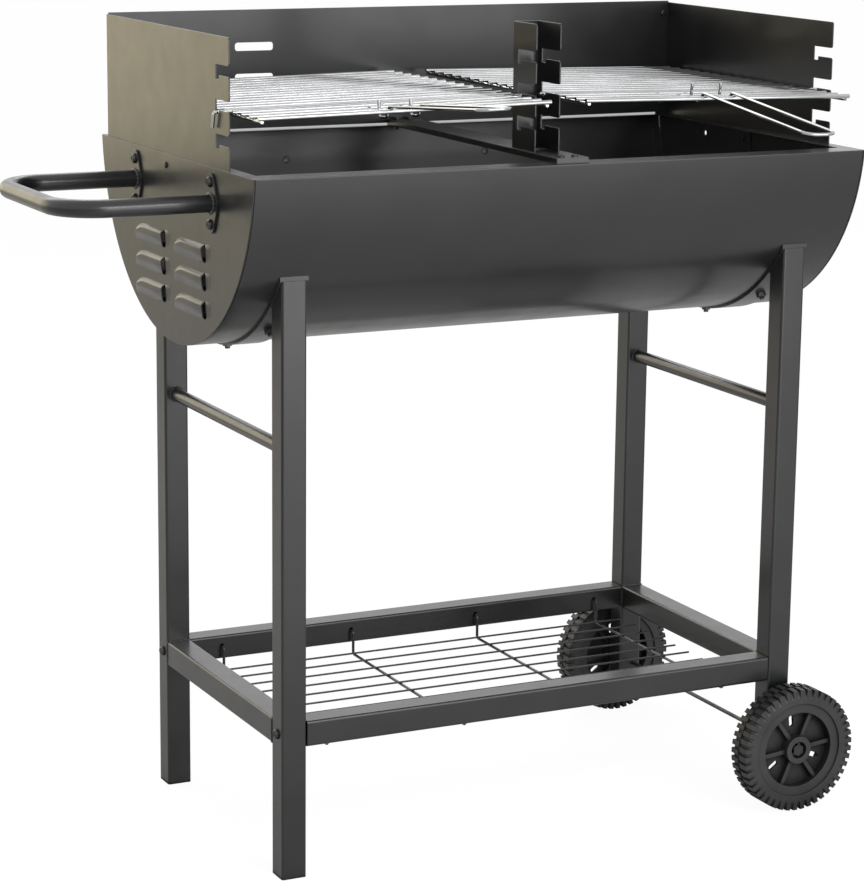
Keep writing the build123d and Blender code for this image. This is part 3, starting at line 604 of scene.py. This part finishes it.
def add_floor():
    """Pale floor that keeps a faint shadow."""
    half = FLOOR_SIZE / 2
    mesh = bpy.data.meshes.new("floor")
    corners = [(-half, -half, 0), (half, -half, 0), (half, half, 0), (-half, half, 0)]
    mesh.from_pydata(corners, [], [(0, 1, 2, 3)])
    floor = bpy.data.objects.new("floor", mesh)
    floor.location.z = -FLOOR_DROP
    bpy.context.collection.objects.link(floor)
    material = bpy.data.materials.new("floor")
    material.use_nodes = True
    tree = material.node_tree
    tree.nodes.clear()
    diffuse = tree.nodes.new("ShaderNodeBsdfDiffuse")
    diffuse.inputs["Color"].default_value = FLOOR_COLOR
    glow = tree.nodes.new("ShaderNodeEmission")
    glow.inputs["Color"].default_value = BACKGROUND_WHITE
    glow.inputs["Strength"].default_value = FLOOR_GLOW
    path = tree.nodes.new("ShaderNodeLightPath")
    share = tree.nodes.new("ShaderNodeMath")
    share.operation = "MULTIPLY"
    share.inputs[1].default_value = 1.0 - FLOOR_SHADOW
    tree.links.new(path.outputs["Is Camera Ray"], share.inputs[0])
    mix = tree.nodes.new("ShaderNodeMixShader")
    tree.links.new(share.outputs["Value"], mix.inputs["Fac"])
    tree.links.new(diffuse.outputs["BSDF"], mix.inputs[1])
    tree.links.new(glow.outputs["Emission"], mix.inputs[2])
    output = tree.nodes.new("ShaderNodeOutputMaterial")
    tree.links.new(mix.outputs["Shader"], output.inputs["Surface"])
    mesh.materials.append(material)


def add_lamp(name, place, aim, width, height, radiance, color):
    """Softbox of an even brightness."""
    data = bpy.data.lights.new(name, "AREA")
    data.shape = "RECTANGLE"
    data.size = width
    data.size_y = height
    data.energy = radiance * math.pi * width * height
    data.color = color
    lamp = bpy.data.objects.new(name, data)
    lamp.location = place
    lamp.rotation_euler = (Vector(aim) - Vector(place)).to_track_quat("-Z", "Y").to_euler()
    bpy.context.collection.objects.link(lamp)


add_camera()
add_world()
add_floor()
for lamp in LAMPS:
    add_lamp(*lamp)

black = paint("satin_black", (0.0050, 0.0052, 0.0057), (0.0090, 0.0092, 0.0100), 0.29, 0.38, 0.4)
chrome = metal("chrome_wire", (0.38, 0.385, 0.39), (0.54, 0.545, 0.55), 0.05, 0.11, 18.0)
dark = metal("dark_steel", (0.05, 0.05, 0.05), (0.10, 0.10, 0.10), 0.24, 0.36, 40.0)
wheel_plastic = plastic("wheel_plastic", (0.012, 0.012, 0.013), (0.024, 0.024, 0.025), 0.42, 0.56)
# Near-black matte paint on the cross recess plates: painted shade in place of the recesses' depth
recess = paint("recess_painted_shade", (0.002, 0.002, 0.002), (0.004, 0.004, 0.004), 0.7, 0.85, 0.0)
by_slot = {
    "black_paint": black,
    "chrome_wire": chrome,
    "dark_steel": dark,
    "black_plastic": wheel_plastic,
}
for row in frame["record"]["subparts"]:
    dress(row["node"], by_slot[row["material_slot"]])
dress("windshield_screws", black)

add_end_plate("left_end_plate", -1, black)
add_end_plate("right_end_plate", 1, black)
add_welds(black)
add_recess_shades(recess)
add_rivets(black)

bpy.context.scene.view_settings.view_transform = "Standard"
